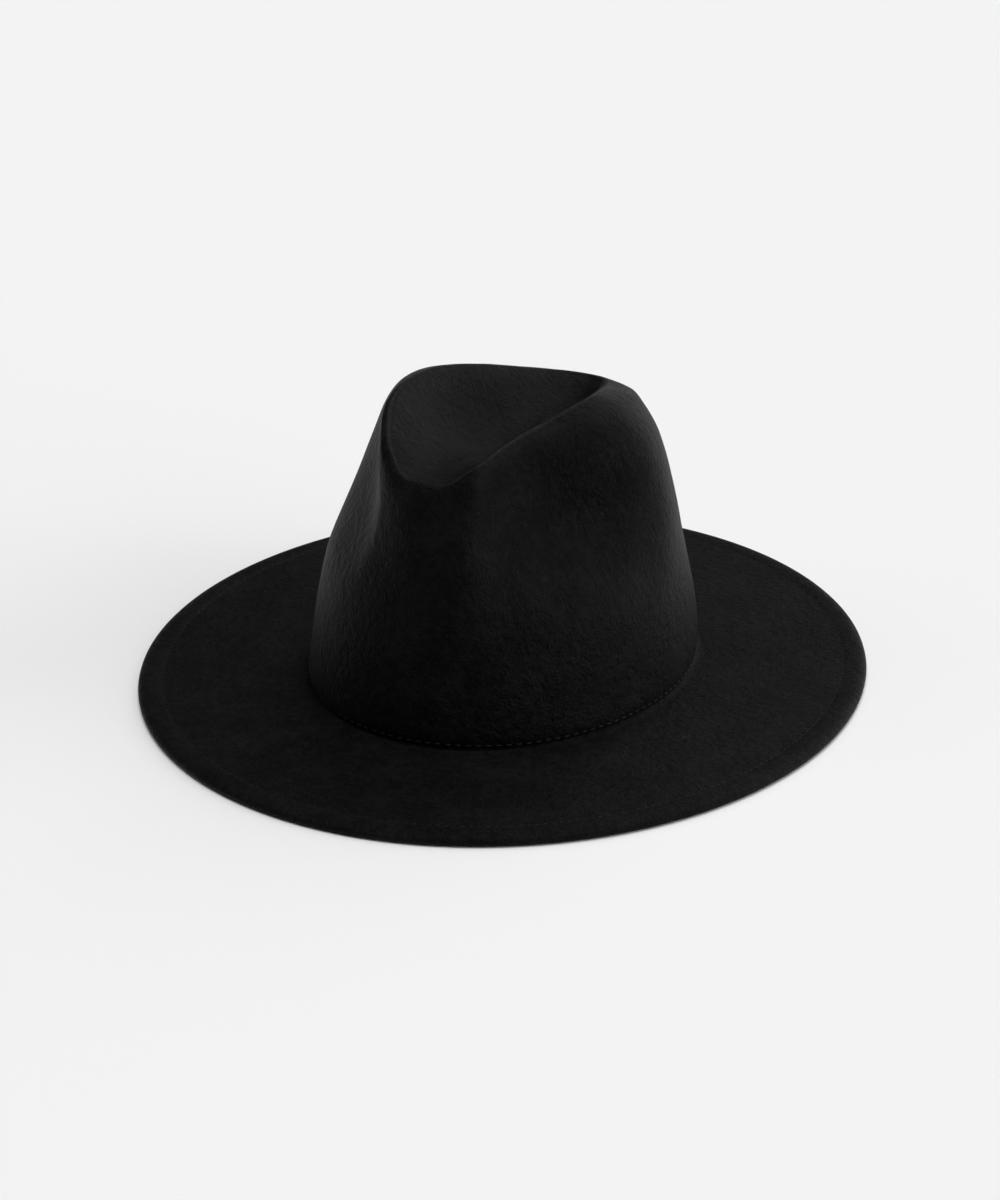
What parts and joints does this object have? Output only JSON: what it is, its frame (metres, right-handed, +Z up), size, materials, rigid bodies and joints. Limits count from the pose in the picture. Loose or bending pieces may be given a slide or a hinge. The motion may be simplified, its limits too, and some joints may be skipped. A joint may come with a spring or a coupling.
{
  "type": "wide-brim fedora",
  "caption": "Felt hat with a creased, pinched crown and a wide flat brim with a turned-under stitched edge; worn on the head for shade and warmth.",
  "frame": {"origin": "centre of the brim on the surface the hat rests on", "axes": "+Z up through the crown, -Y to the front of the hat, +X to the wearer's left"},
  "size_m": [0.3322, 0.359, 0.1407],
  "materials": {
    "felt": "matte brushed wool felt",
    "band_cloth": "matte ribbed band cloth"
  },
  "bodies": {
    "root": {"felt_body": "felt", "sweatband": "band_cloth"}
  },
  "joints": []
}
